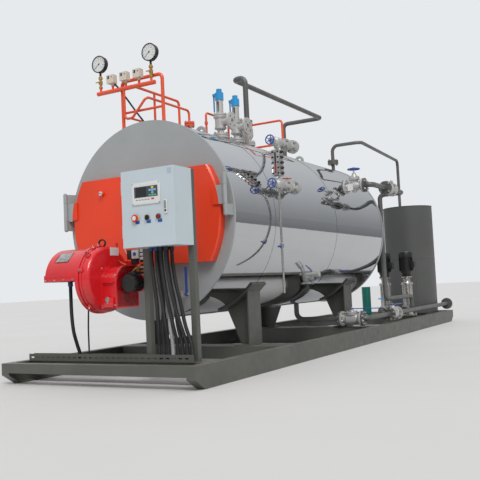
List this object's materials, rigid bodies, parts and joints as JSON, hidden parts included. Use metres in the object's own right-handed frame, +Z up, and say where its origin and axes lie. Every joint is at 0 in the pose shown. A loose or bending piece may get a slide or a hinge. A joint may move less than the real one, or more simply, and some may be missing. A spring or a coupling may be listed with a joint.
{
  "type": "industrial boiler",
  "caption": "Skid-mounted horizontal fire-tube steam boiler with burner, control cabinet, safety valves, level gauge, feed pumps and water tank.",
  "frame": {"origin": "middle of the skid on the floor, at the underside of the middle cross member", "axes": "+Z up, +Y from the burner end to the tank end, +X to the right seen from the burner end"},
  "size_m": [2.2175, 7.759, 3.1505],
  "materials": {
    "skid_paint": "semi-gloss dark grey-green enamel, dusty",
    "mirror_jacket": "mirror-polished stainless sheet",
    "plate_grey": "satin light grey enamel",
    "door_orange": "gloss orange-red enamel",
    "burner_red": "gloss bright red enamel",
    "black_paint": "gloss black enamel",
    "bare_casting": "silver-painted grey castings",
    "cabinet_paint": "pale grey-blue powder coat",
    "controls": "dark plastic panel, keys and switches",
    "cable_sheath": "black ribbed conduit",
    "pipe_orange": "gloss orange-red enamel",
    "gauge_black": "black cases with white dials",
    "brass": "cast brass",
    "switch_beige": "beige plastic covers",
    "valve_blue": "gloss sky-blue enamel",
    "wheel_blue": "gloss deep-blue enamel",
    "pipe_grey": "dark grey pipe enamel",
    "steel": "brushed stainless steel",
    "tank_grey": "semi-gloss dark grey enamel",
    "pump_green": "teal-green enamel"
  },
  "bodies": {
    "boiler": {"left_skid_beam": "skid_paint", "right_skid_beam": "skid_paint", "front_skid_beam": "skid_paint", "rear_skid_beam": "skid_paint", "skid_cross_members": "skid_paint", "front_saddle": "skid_paint", "rear_saddle": "skid_paint", "boiler_shell": "mirror_jacket", "front_plate": "plate_grey", "rear_plate": "plate_grey", "door_hinges": "plate_grey", "lifting_lugs": "plate_grey", "burner_head": "bare_casting", "burner_housing": "burner_red", "burner_control_box": "burner_red", "burner_fan_block": "burner_red", "burner_motor": "black_paint", "cabinet_box": "cabinet_paint", "cabinet_stand": "skid_paint", "cable_tray": "skid_paint", "control_cables": "cable_sheath", "gauge_manifold": "pipe_orange", "pressure_gauges": "gauge_black", "gauge_cocks": "brass", "pressure_switches": "switch_beige", "safety_valves": "bare_casting", "safety_valve_caps": "valve_blue", "steam_outlet_valve": "bare_casting", "steam_pipe": "pipe_grey", "level_connections": "pipe_grey", "level_cocks": "bare_casting", "level_gauge_glass": "steel", "feed_valve": "bare_casting", "feed_pipes": "pipe_grey", "tank_shell": "tank_grey", "tank_lid": "tank_grey", "tank_floor": "tank_grey", "tank_vent_pipe": "pipe_grey", "feed_pumps": "steel", "pump_motors": "black_paint", "pump_valves": "bare_casting", "dosing_pump": "pump_green", "blowdown_line": "pipe_grey", "blowdown_valves": "steel", "drain_valves": "steel"},
    "left_door": {"left_smoke_door": "door_orange"},
    "right_door": {"right_smoke_door": "door_orange"},
    "cabinet_door": {"cabinet_door": "cabinet_paint", "cabinet_controls": "controls"},
    "front_lift_lever": {"front_lift_lever": "valve_blue"},
    "rear_lift_lever": {"rear_lift_lever": "valve_blue"},
    "upper_cock_wheel": {"upper_cock_wheel": "wheel_blue"},
    "lower_cock_wheel": {"lower_cock_wheel": "wheel_blue"},
    "feed_valve_wheel": {"feed_valve_wheel": "wheel_blue"},
    "left_pump_wheel": {"left_pump_wheel": "valve_blue"},
    "right_pump_wheel": {"right_pump_wheel": "valve_blue"},
    "branch_valve_lever": {"branch_valve_lever": "wheel_blue"},
    "outlet_valve_lever": {"outlet_valve_lever": "wheel_blue"},
    "drain_lever": {"drain_lever": "wheel_blue"}
  },
  "joints": [
    {"name": "left_door_swing", "type": "hinge", "parent": "boiler", "child": "left_door", "pos_m": [-0.878, -3.123, 1.375], "axis": [0, 0, -1], "range_deg": [0, 12]},
    {"name": "right_door_swing", "type": "hinge", "parent": "boiler", "child": "right_door", "pos_m": [0.878, -3.123, 1.375], "axis": [0, 0, 1], "range_deg": [0, 12]},
    {"name": "cabinet_door_swing", "type": "hinge", "parent": "boiler", "child": "cabinet_door", "pos_m": [0.327, -3.7845, 1.38], "axis": [0, 0, -1], "range_deg": [0, 120]},
    {"name": "front_lever_lift", "type": "hinge", "parent": "boiler", "child": "front_lift_lever", "pos_m": [-0.06, -1.663, 2.797], "axis": [0, 1, 0], "range_deg": [0, 25]},
    {"name": "rear_lever_lift", "type": "hinge", "parent": "boiler", "child": "rear_lift_lever", "pos_m": [-0.06, -1.321, 2.797], "axis": [0, 1, 0], "range_deg": [0, 25]},
    {"name": "upper_cock_turn", "type": "hinge", "parent": "boiler", "child": "upper_cock_wheel", "pos_m": [0.945, -2.385, 2.068], "axis": [0, -1, 0], "range_deg": [0, 720]},
    {"name": "lower_cock_turn", "type": "hinge", "parent": "boiler", "child": "lower_cock_wheel", "pos_m": [0.945, -2.385, 1.668], "axis": [0, -1, 0], "range_deg": [0, 720]},
    {"name": "feed_valve_turn", "type": "hinge", "parent": "boiler", "child": "feed_valve_wheel", "pos_m": [0.93, -0.217, 2.046], "axis": [0, 0, 1], "range_deg": [0, 1080]},
    {"name": "left_pump_valve_turn", "type": "hinge", "parent": "boiler", "child": "left_pump_wheel", "pos_m": [0.376, 2.173, 0.449], "axis": [0, 0, 1], "range_deg": [0, 1080]},
    {"name": "right_pump_valve_turn", "type": "hinge", "parent": "boiler", "child": "right_pump_wheel", "pos_m": [0.712, 2.173, 0.449], "axis": [0, 0, 1], "range_deg": [0, 1080]},
    {"name": "branch_valve_turn", "type": "hinge", "parent": "boiler", "child": "branch_valve_lever", "pos_m": [0.73, -0.017, 0.405], "axis": [0, 0, 1], "range_deg": [0, 90]},
    {"name": "outlet_valve_turn", "type": "hinge", "parent": "boiler", "child": "outlet_valve_lever", "pos_m": [0.925, 0.928, 0.405], "axis": [0, 0, 1], "range_deg": [0, 90]},
    {"name": "drain_valve_turn", "type": "hinge", "parent": "boiler", "child": "drain_lever", "pos_m": [0.446, -3.107, 0.7], "axis": [1, 0, 0], "range_deg": [0, 90]}
  ]
}
